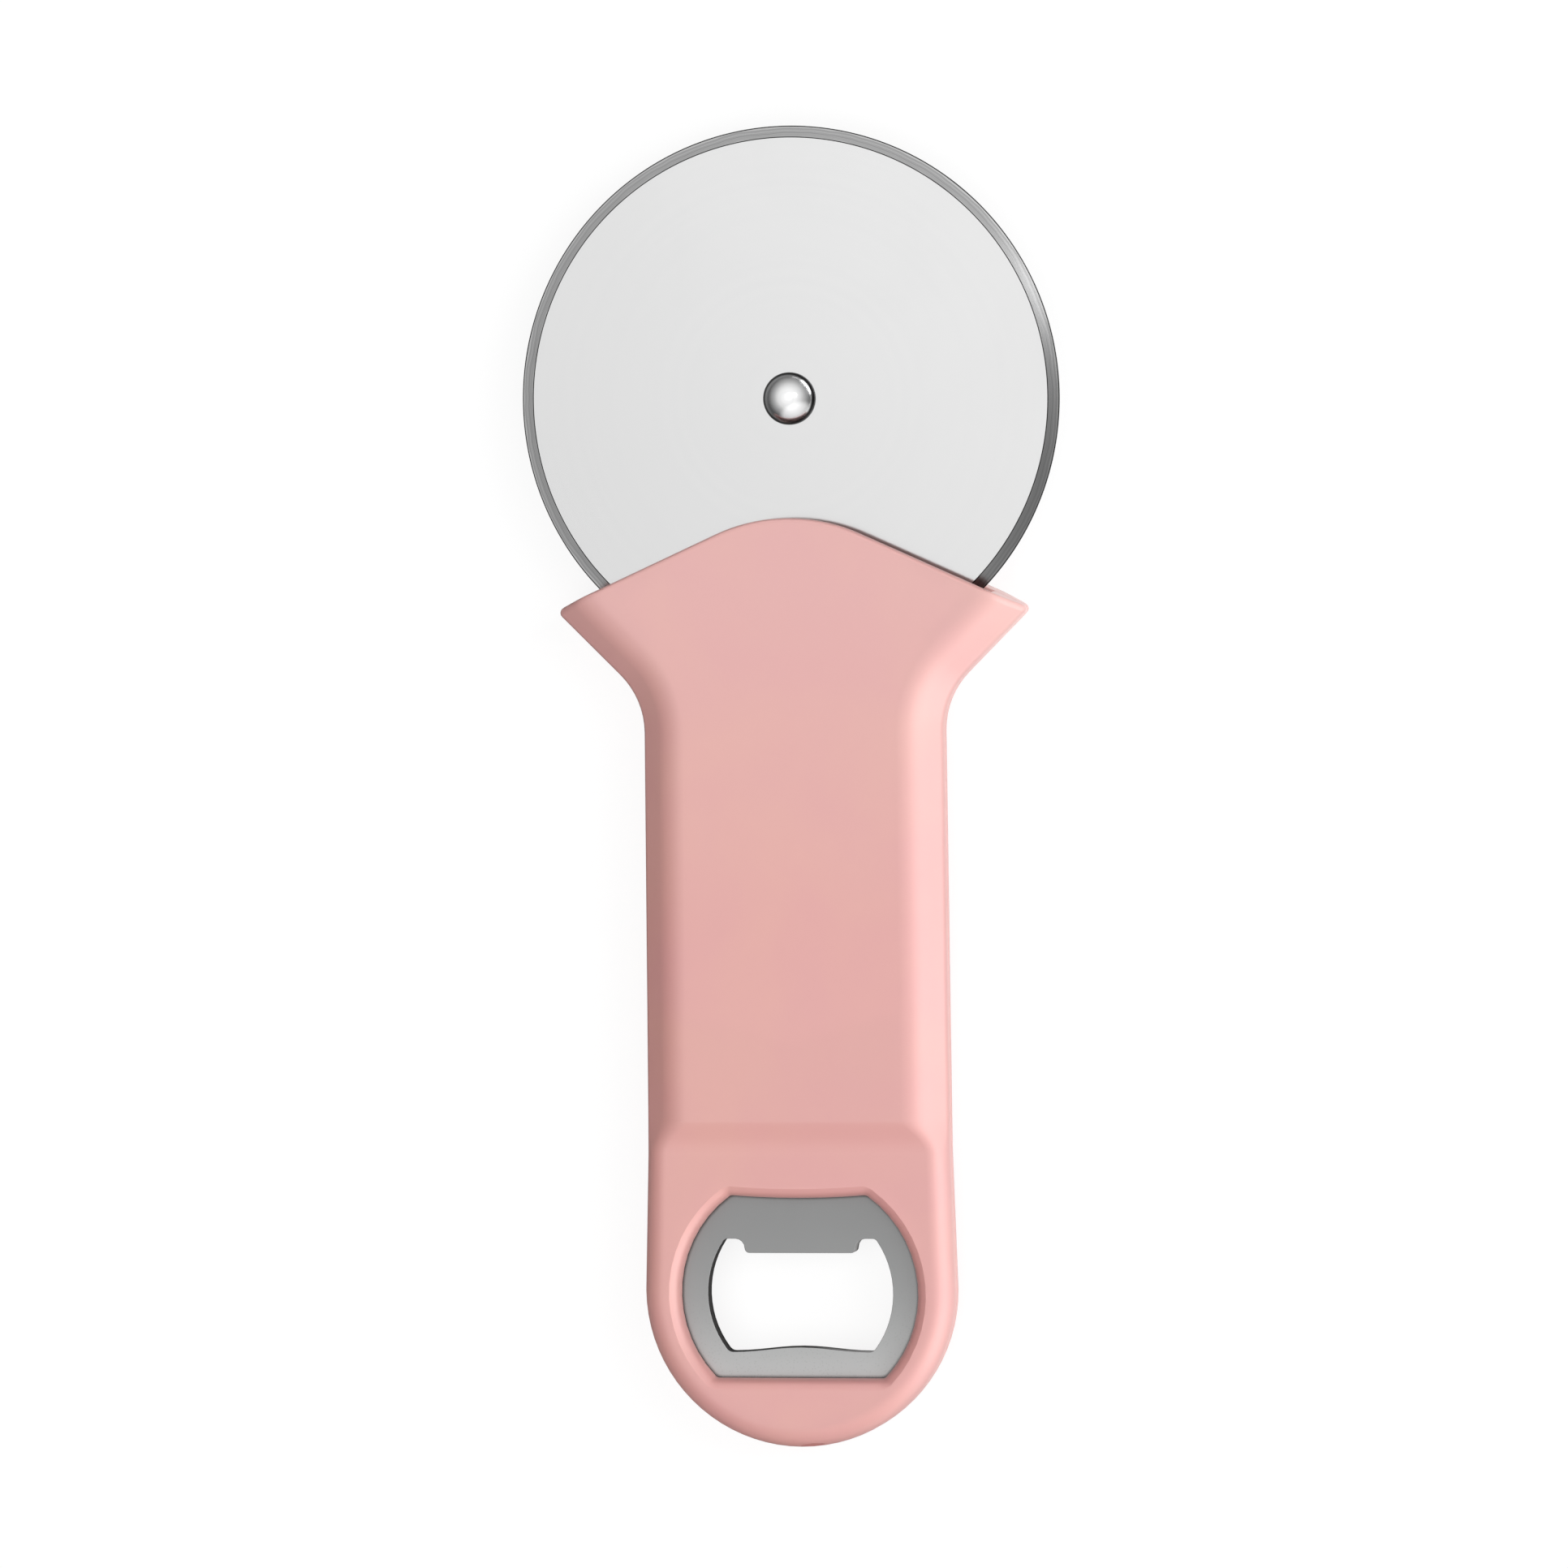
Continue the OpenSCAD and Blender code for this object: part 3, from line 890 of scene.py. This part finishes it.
@dataclass(frozen=True)
class Ground(Finish):
    """The pale floor, near white to the camera, that keeps a soft shadow.

    Attributes:
        colour: the floor's colour.
        paler: the colour of its paler grains.
        white: level of the white that the camera sees in it.
        lift: the share of that white in what the camera sees of it.
        shown: the share of its own glow in what glossy surfaces see of it.
        dim: level of that glow on the left.
        bright: level of that glow on the right.
        reach: where on the right it is at its brightest, in metres.
    """

    colour: Colour = (0.93, 0.93, 0.93)
    paler: Colour = (0.95, 0.95, 0.95)
    white: float = 1.12
    lift: float = 0.75
    shown: float = 0.94
    dim: float = 0.04
    bright: float = 2.1
    reach: float = 0.055

    def wire(self, net: Net, where: Socket) -> Socket:
        """Mixes a matt floor with white for the camera and a glow for glossy surfaces.

        Args:
            net: the material's nodes.
            where: the place on the floor.

        Returns:
            The shader's socket.
        """
        faint = net.noise({"Vector": where, "Scale": 900.0, "Detail": 2.0})
        tone = net.blend(faint, self.colour, self.paler)
        matt = net.add("ShaderNodeBsdfDiffuse", {"Color": tone}).outputs[0]
        white = net.add("ShaderNodeEmission", {
            "Color": (1, 1, 1, 1), "Strength": self.white}).outputs[0]
        glow = net.add("ShaderNodeEmission", {
            "Strength": net.spread(net.axis(where, "X"), self.dim, self.bright,
                                   0.0, self.reach)}).outputs[0]
        path = net.add("ShaderNodeLightPath").outputs
        lifted = net.add("ShaderNodeMixShader", {
            0: net.maths("MULTIPLY", path["Is Camera Ray"], self.lift), 1: matt,
            2: white}).outputs[0]
        return net.add("ShaderNodeMixShader", {
            0: net.maths("MULTIPLY", path["Is Glossy Ray"], self.shown), 1: lifted,
            2: glow}).outputs[0]


PINK = Plastic("pink_satin")
SCAR = Plastic("pink_gate", light=(0.68, 0.23, 0.20), deep=(0.55, 0.16, 0.14),
               gloss=(0.6, 0.75), depth=0.02)
POLISHED = TurnedSteel("polished_disc")
# The bevel's dark rings at its edges and its darker sector are painted shade
BEVELLED = TurnedSteel("ground_bevel", light=(0.505, 0.505, 0.505), dark=(0.265, 0.265, 0.267),
                       gloss=(0.16, 0.26), lines=3600.0, waver=2.5, depth=0.002,
                       streak="Height", rings=((38.3, 0.12), (39.95, 0.14)), dull=0.70)
# The dome's dark ring is painted shade round its rim
DOMED = TurnedSteel("rivet_dome", light=(0.90, 0.90, 0.90), dark=(0.85, 0.85, 0.855),
                    gloss=(0.14, 0.20), lines=7000.0, waver=0.4, depth=0.0002,
                    rings=((3.86, 0.55),))
TURNED = TurnedSteel("rivet_turned", light=(0.70, 0.70, 0.70), dark=(0.58, 0.58, 0.58),
                     gloss=(0.2, 0.3), lines=6000.0, waver=0.3, depth=0.001)
BLASTED = BlastedSteel("blasted_plate")
PUNCHED = PunchedEdge("punched_wall")
BRUSHED = BrushedSteel("brushed_arm")
NYLON = Plastic("pale_nylon", light=(0.86, 0.85, 0.80), deep=(0.82, 0.81, 0.76),
                gloss=(0.4, 0.5), depth=0.002)


# Sub-assemblies


@dataclass
class Handle:
    """The moulded halves of the handle.

    Attributes:
        crease: angle above which an edge stays sharp.
        end_zone: how much of the handle's end holds the end's crest.
        end_radius: radius of the round end.
        end_round: radius of the end's rounded edge.
        gate_depth: how deep the gate's flat is cut.
        gate_turn: the flat's place round the end, from the middle.
        gate_tilt: how far the flat leans towards the face.
        aligned: the least cosine between a face that lies on the flat and the flat.
    """

    crease: float = 32.0
    end_zone: float = 10.0
    end_radius: float = 23.1
    end_round: float = 3.19
    gate_depth: float = 0.07
    gate_turn: float = 4.5
    gate_tilt: float = 24.0
    aligned: float = 0.9999

    def half(self, node: str, name: str, side: int) -> None:
        """Makes one half from its solid and cuts the gate's flat into it.

        Args:
            node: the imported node.
            name: the piece's name.
            side: 1 for the front half and -1 for the back one.
        """
        piece = copied(node, name)
        low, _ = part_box(node)
        crest = max(side * v.co.z for v in piece.data.vertices
                    if v.co.y < low.y + self.end_zone * MM)
        turn, tilt = math.radians(self.gate_turn), math.radians(self.gate_tilt)
        along = Vector((math.sin(turn), -math.cos(turn), 0.0))
        outward = along * math.cos(tilt) + Vector((0.0, 0.0, side * math.sin(tilt)))
        middle = along * (self.end_radius - self.end_round) * MM
        middle += Vector((0.0, low.y + self.end_radius * MM,
                          side * (crest - self.end_round * MM)))
        plane = middle + outward * (self.end_round - self.gate_depth) * MM
        with editing(piece):
            bpy.ops.mesh.bisect(plane_co=plane, plane_no=outward, use_fill=True,
                                clear_outer=True, threshold=HAIR)

        def on_flat(face: bpy.types.MeshPolygon) -> int:
            """Gives 1 for the faces of the gate's flat."""
            return int(face.normal.dot(outward) > self.aligned
                       and (face.center - plane).dot(outward) > -HAIR)

        finished(piece, node, Slot.PLASTIC, self.crease, [PINK, SCAR], on_flat)

    def build(self) -> None:
        """Makes both halves."""
        self.half("front_shell", "handle_front", 1)
        self.half("back_shell", "handle_back", -1)


@dataclass
class Opener:
    """The plate that lifts crown caps.

    Attributes:
        reach: radius round the opening's middle that holds the opening.
        lip_width: half the width of the lip's straight edge.
        chamfer: width of the lip's chamfer.
        ease: share of it that the opening's other edges have.
        upright: the greatest upward share of a wall's normal.
        crease: angle above which an edge stays sharp.
    """

    reach: float = 14.2
    lip_width: float = 7.2
    chamfer: float = 0.42
    ease: float = 0.3
    upright: float = 0.5
    crease: float = 40.0

    def build(self) -> None:
        """Makes the plate from its solid and breaks the edges of its opening."""
        piece = copied("opener_plate", "cap_lifter")
        low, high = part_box("opener_plate")

        def in_opening(edge: bmesh.types.BMEdge) -> bool:
            """Says whether an edge runs round the opening on either face."""
            a, b = (v.co for v in edge.verts)
            return (abs(a.z - b.z) < NEAR and min(a.z - low.z, high.z - a.z) < NEAR
                    and all((p.xy - OPENING).length < self.reach * MM for p in (a, b))
                    and edge.is_manifold and edge.calc_face_angle() > CORNER)

        def on_lip(edge: bmesh.types.BMEdge) -> bool:
            """Says whether an edge of the opening is the lip's straight one."""
            return in_opening(edge) and all(
                abs(v.co.x) < self.lip_width * MM and v.co.y > OPENING.y for v in edge.verts)

        with editing(piece):
            bpy.ops.mesh.dissolve_limited(angle_limit=FLAT)
            choose_edges(piece, in_opening)
            bpy.ops.transform.edge_bevelweight(value=self.ease)
            choose_edges(piece, on_lip)
            bpy.ops.transform.edge_bevelweight(value=1.0 - self.ease)
        broken(piece, self.chamfer, 2)
        finished(piece, "opener_plate", Slot.BLASTED, self.crease, [BLASTED, PUNCHED],
                 lambda face: int(abs(face.normal.z) < self.upright))


@dataclass
class Arm:
    """The steel arm behind the wheel.

    Attributes:
        ease: rounding of its stamped edges.
        crease: angle above which an edge stays sharp.
    """

    ease: float = 0.25
    crease: float = 35.0

    def build(self) -> None:
        """Makes the arm from its solid and rounds its edges."""
        piece = copied("wheel_arm", "arm_blank")
        with editing(piece):
            bpy.ops.mesh.dissolve_limited(angle_limit=FLAT)
        broken(piece, self.ease, 3, CORNER)
        finished(piece, "wheel_arm", Slot.SHEET, self.crease, [BRUSHED])


@dataclass
class Axle:
    """The two-part rivet and its washer.

    Attributes:
        steps: the number of sides.
        shank: radius of the pin.
        sleeve: radius of the sleeve's outside.
        rim: height of the head's straight rim.
        fillet: rounding of the rivet's small edges.
        foot: radius of the first ring round the pin's lower pole.
        rings: number of rings over the dome.
        play: gap between washer and sleeve.
        washer_fillet: rounding of the washer's edges.
        dome_crease: angle above which an edge of the pin stays sharp.
        crease: the same for sleeve and washer.
    """

    steps: int = 96
    shank: float = 1.5
    sleeve: float = 2.5
    rim: float = 0.4
    fillet: float = 0.15
    foot: float = 0.3
    rings: int = 14
    play: float = 0.05
    washer_fillet: float = 0.12
    dome_crease: float = 50.0
    crease: float = 40.0

    def dome(self) -> None:
        """Turns the pin with its domed head."""
        low, high = box_in_mm("axle_pin")
        base = box_in_mm("axle_sleeve")[1].z
        radius = (high.x - low.x) / 2
        crown = high.z - base - self.rim
        sphere = (radius * radius + crown * crown) / (2 * crown)
        middle = base + self.rim + crown - sphere
        spread = math.asin(radius / sphere)
        cap = [(sphere * math.sin(spread * s), middle + sphere * math.cos(spread * s))
               for s in (1 - i / self.rings for i in range(1, self.rings))]
        f = self.fillet
        section = [(self.foot, low.z), (self.shank - f, low.z), (self.shank, low.z + f),
                   (self.shank, base), (radius - f, base), (radius, base + f),
                   (radius, base + self.rim), *cap]
        piece = Lathe(self.steps).turn("rivet_pin", section, closed=False)
        finished(piece, "axle_pin", Slot.RIVET, self.dome_crease, [DOMED])

    def tube(self) -> None:
        """Turns the sleeve with its flat head."""
        low, high = box_in_mm("axle_sleeve")
        arm_low = box_in_mm("wheel_arm")[0].z
        radius = (high.x - low.x) / 2
        f = self.fillet
        section = [(self.shank, low.z + f), (self.shank + f, low.z),
                   (radius - 3 * f, low.z), (radius - f, low.z + 0.6 * f),
                   (radius, low.z + 2 * f), (radius, arm_low - f), (radius - f, arm_low),
                   (self.sleeve, arm_low), (self.sleeve, high.z), (self.shank, high.z)]
        piece = Lathe(self.steps).turn("rivet_sleeve", section, closed=True)
        finished(piece, "axle_sleeve", Slot.RIVET, self.crease, [TURNED])

    def washer(self) -> None:
        """Turns the washer with eased edges."""
        low, high = box_in_mm("spacer_washer")
        radius = (high.x - low.x) / 2
        bore = self.sleeve + self.play
        f = self.washer_fillet
        section = [(bore, low.z), (radius - f, low.z), (radius, low.z + f),
                   (radius, high.z - f), (radius - f, high.z), (bore, high.z)]
        piece = Lathe(self.steps).turn("thrust_washer", section, closed=True)
        finished(piece, "spacer_washer", Slot.NYLON, self.crease, [NYLON])

    def build(self) -> None:
        """Makes the three turned parts."""
        self.dome()
        self.tube()
        self.washer()


@dataclass
class CuttingDisc:
    """The wheel that cuts.

    Attributes:
        steps: the number of sides.
        bore: radius of its hole.
        face_rings: radius of the rings on its flat face.
        bevel: width of the ground bevel.
        bevel_rings: place of the rings on the bevel, as a share of its width.
        edge: thickness left at its edge.
        hollow: how far the grinding sinks below a straight bevel.
        crease: angle above which an edge stays sharp.
    """

    steps: int = 288
    bore: float = 2.55
    face_rings: tuple[float, ...] = (12.0, 24.0, 32.0)
    bevel: float = 1.75
    bevel_rings: tuple[float, ...] = (0.0, 0.3, 0.55, 0.8, 1.0)
    edge: float = 0.2
    hollow: float = 0.035
    crease: float = 12.0

    def build(self) -> None:
        """Turns the disc and dresses face and bevel apart."""
        low, high = box_in_mm("cutting_wheel")
        radius = high.x
        middle = (low.z + high.z) / 2
        half = (high.z - low.z) / 2
        side = []
        for share in self.bevel_rings:
            sink = self.hollow * math.sin(math.pi * share)
            side.append((radius - self.bevel * (1 - share),
                         half - (half - self.edge / 2) * share - sink))
        inner = [self.bore, *self.face_rings]
        section = [(r, low.z) for r in inner]
        section += [(r, middle - z) for r, z in side]
        section += [(r, middle + z) for r, z in reversed(side)]
        section += [(r, high.z) for r in reversed(inner)]
        piece = Lathe(self.steps).turn("cutting_disc", section, closed=True)
        shoulder = (radius - self.bevel) * MM

        def on_bevel(face: bpy.types.MeshPolygon) -> int:
            """Gives 1 for the faces of the ground bevel."""
            return int((face.center.xy - AXLE).length > shoulder)

        finished(piece, "cutting_wheel", Slot.WHEEL, self.crease, [POLISHED, BEVELLED],
                 on_bevel, Body.WHEEL)


@dataclass(frozen=True)
class Lamp:
    """A round soft light that looks at the cutter.

    Attributes:
        name: the light's name.
        towards: direction from the cutter to the light.
        far: distance from the cutter, in metres.
        size: diameter, in metres.
        power: power in watts.
        matt: whether it lights matt surfaces.
        mirrored: whether glossy surfaces show it.
        only: the pieces that it lights; without them it lights all.
    """

    name: str
    towards: Direction
    far: float
    size: float
    power: float
    matt: bool = True
    mirrored: bool = True
    only: tuple[str, ...] = ()


@dataclass(frozen=True)
class Panel:
    """A soft bright place in the surroundings.

    Attributes:
        towards: direction of its middle.
        tones: its level by the cosine from its middle.
    """

    towards: Direction
    tones: Tones


@dataclass
class Studio:
    """The floor, the lights, the surroundings and the camera.

    Attributes:
        yaw: turn of the camera towards +X.
        pitch: turn of the camera towards +Y.
        roll: turn of the picture.
        distance: from the camera to the cutter, in metres.
        width: what the picture shows across at the cutter, in metres.
        aim: the point in the middle of the picture.
        floor_size: the floor's side, in metres.
        strength: the brightest level of the surroundings.
        overhead: the bright panel that glosses show.
        window: the bright strip that they show at the horizon.
        window_rise: height at which the strip starts and ends to fade.
        glow: the dimmer side that they show.
        side: the light on matt surfaces, whose tones run from behind to its middle.
        zenith: the panel that adds to it.
        lamps: the lights.
    """

    yaw: float = 10.0
    pitch: float = 2.0
    roll: float = 0.7
    distance: float = 1.5
    width: float = 0.2307
    aim: tuple[float, float, float] = (-0.0018, 0.0005, 0.006)
    floor_size: float = 6.0
    strength: float = 12.0
    overhead: Panel = Panel((0.0, 0.16, 0.987), (
        (0.0, 0.07), (0.17, 0.18), (0.50, 0.46), (0.71, 0.79), (0.87, 0.98), (0.93, 1.04),
        (0.955, 1.01), (0.965, 1.04), (0.978, 1.37), (1.0, 1.41)))
    window: Panel = Panel((0.80, 0.60, 0.03), ((0.0, 0.0), (0.90, 0.0), (0.95, 9.0), (1.0, 10.0)))
    window_rise: Span = (0.03, 0.08)
    glow: Panel = Panel((0.35, -0.90, 0.25), ((0.0, 0.0), (0.55, 0.0), (0.75, 0.50), (1.0, 0.65)))
    side: Panel = Panel((0.80, -0.60, 0.0), (
        (0.0, 0.0), (0.3, 0.12), (0.5, 0.34), (0.8, 0.62), (1.0, 0.68)))
    zenith: Panel = Panel((-0.18, -0.06, 0.982), (
        (0.0, 0.0), (0.87, 0.0), (0.93, 1.63), (1.0, 1.75)))
    lamps: tuple[Lamp, ...] = (
        Lamp("key", (0.720, 0.260, 0.643), 1.2, 0.7, 3.1, mirrored=False),
        Lamp("edge", (0.372, 0.268, 0.888), 1.24, 0.22, 0.35),
        Lamp("sheen", (0.93, -0.26, 0.26), 1.0, 1.4, 15.5, matt=False,
             only=("handle_front", "handle_back", "cap_lifter")),
        Lamp("brow", (-0.17, 0.83, 0.52), 1.0, 0.9, 3.0, matt=False,
             only=("handle_front", "handle_back")))

    def floor(self) -> None:
        """Lays the floor."""
        bpy.ops.object.select_all(action="DESELECT")
        bpy.ops.mesh.primitive_plane_add(size=self.floor_size, location=(0, 0, 0))
        floor = bpy.context.active_object
        floor.name = "floor"
        floor.data.materials.append(Ground("pale_floor").build())
        floor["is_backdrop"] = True

    @staticmethod
    def hang(lamp: Lamp) -> None:
        """Hangs a light so that it looks at the cutter.

        Args:
            lamp: the light's place and settings.
        """
        light = bpy.data.lights.new(lamp.name, "AREA")
        light.shape = "DISK"
        light.size = lamp.size
        light.energy = lamp.power
        piece = bpy.data.objects.new(lamp.name, light)
        bpy.context.scene.collection.objects.link(piece)
        way = Vector(lamp.towards).normalized()
        piece.location = way * lamp.far
        piece.rotation_euler = way.to_track_quat("Z", "Y").to_euler()
        piece.visible_camera = False
        piece.visible_diffuse = lamp.matt
        piece.visible_glossy = lamp.mirrored
        if lamp.only:
            lit = bpy.data.collections.new(lamp.name)
            for name in lamp.only:
                lit.objects.link(bpy.data.objects[name])
            piece.light_linking.receiver_collection = lit

    def surroundings(self) -> None:
        """Makes the soft surroundings, white to the camera."""
        world = bpy.data.worlds.new("studio")
        bpy.context.scene.world = world
        world.use_nodes = True
        world.node_tree.nodes.clear()
        net = Net(world.node_tree)
        way = net.add("ShaderNodeTexCoord").outputs["Generated"]

        def cosine(panel: Panel) -> Socket:
            """Gives the cosine between what is looked at and a panel's middle."""
            return net.vectors("DOT_PRODUCT", way, tuple(Vector(panel.towards).normalized()))

        def tone(panel: Panel) -> Socket:
            """Gives a panel's grey."""
            return self.ramp(net, cosine(panel), panel.tones)

        strip = net.add("ShaderNodeVectorMath", {
            0: tone(self.window),
            "Scale": net.spread(net.axis(way, "Z"), 1.0, 0.0, *self.window_rise)},
            operation="SCALE").outputs[0]
        mirrored = net.blend(1.0, tone(self.overhead),
                             net.blend(1.0, strip, tone(self.glow), "ADD"), "ADD")
        across = net.spread(cosine(self.side), 0.0, 1.0, -1.0, 1.0)
        matt = net.blend(1.0, self.ramp(net, across, self.side.tones), tone(self.zenith), "ADD")
        path = net.add("ShaderNodeLightPath").outputs
        lit = net.blend(path["Is Glossy Ray"], matt, mirrored)
        seen = net.blend(path["Is Camera Ray"], lit, (1.0 / self.strength,) * 3)
        sky = net.add("ShaderNodeBackground", {"Color": seen, "Strength": self.strength})
        net.add("ShaderNodeOutputWorld", {"Surface": sky.outputs[0]})

    def ramp(self, net: Net, value: Socket, tones: Tones) -> Socket:
        """Turns a value into a grey by steps.

        Args:
            net: the world's nodes.
            value: the value, from 0 to 1.
            tones: place and level of each step; a level is shared by strength.

        Returns:
            The grey's socket.
        """
        ramp = net.add("ShaderNodeValToRGB", {0: value})
        points = ramp.color_ramp.elements
        while len(points) < len(tones):
            points.new(0.5)
        for point, (place, level) in zip(points, tones):
            point.position = place
            point.color = (*((level / self.strength,) * 3), 1.0)
        return ramp.outputs[0]

    def camera(self) -> None:
        """Puts the camera where the photograph was taken from."""
        yaw, pitch, roll = (math.radians(a) for a in (self.yaw, self.pitch, self.roll))
        back = Vector((math.sin(yaw) * math.cos(pitch), math.sin(pitch),
                       math.cos(yaw) * math.cos(pitch)))
        right = Vector((math.cos(yaw), 0.0, -math.sin(yaw)))
        up = back.cross(right)
        turned_right = right * math.cos(roll) - up * math.sin(roll)
        turned_up = back.cross(turned_right)
        lens = bpy.data.cameras.new("camera")
        lens.sensor_width = 36.0
        lens.lens = lens.sensor_width * self.distance / self.width
        lens.clip_start = 0.01
        view = bpy.data.objects.new("camera", lens)
        bpy.context.scene.collection.objects.link(view)
        place = Matrix((turned_right, turned_up, back)).transposed().to_4x4()
        place.translation = Vector(self.aim) + back * self.distance
        view.matrix_world = place
        bpy.context.scene.camera = view

    def build(self) -> None:
        """Sets up the studio."""
        self.floor()
        self.surroundings()
        for lamp in self.lamps:
            self.hang(lamp)
        self.camera()
        bpy.context.scene.view_settings.view_transform = "Standard"


def main() -> None:
    """Builds every sub-assembly and the studio, and measures the model's size."""
    logging.basicConfig(level=logging.INFO, format="%(message)s")
    for part in (Handle(), Opener(), Arm(), Axle(), CuttingDisc()):
        part.build()
    Studio().build()
    boxes = {"cad": CAD_BOUNDS, "visual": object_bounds()}
    plain = {key: [[float(x) for x in corner] for corner in box] for key, box in boxes.items()}


if __name__ == "__main__":
    main()
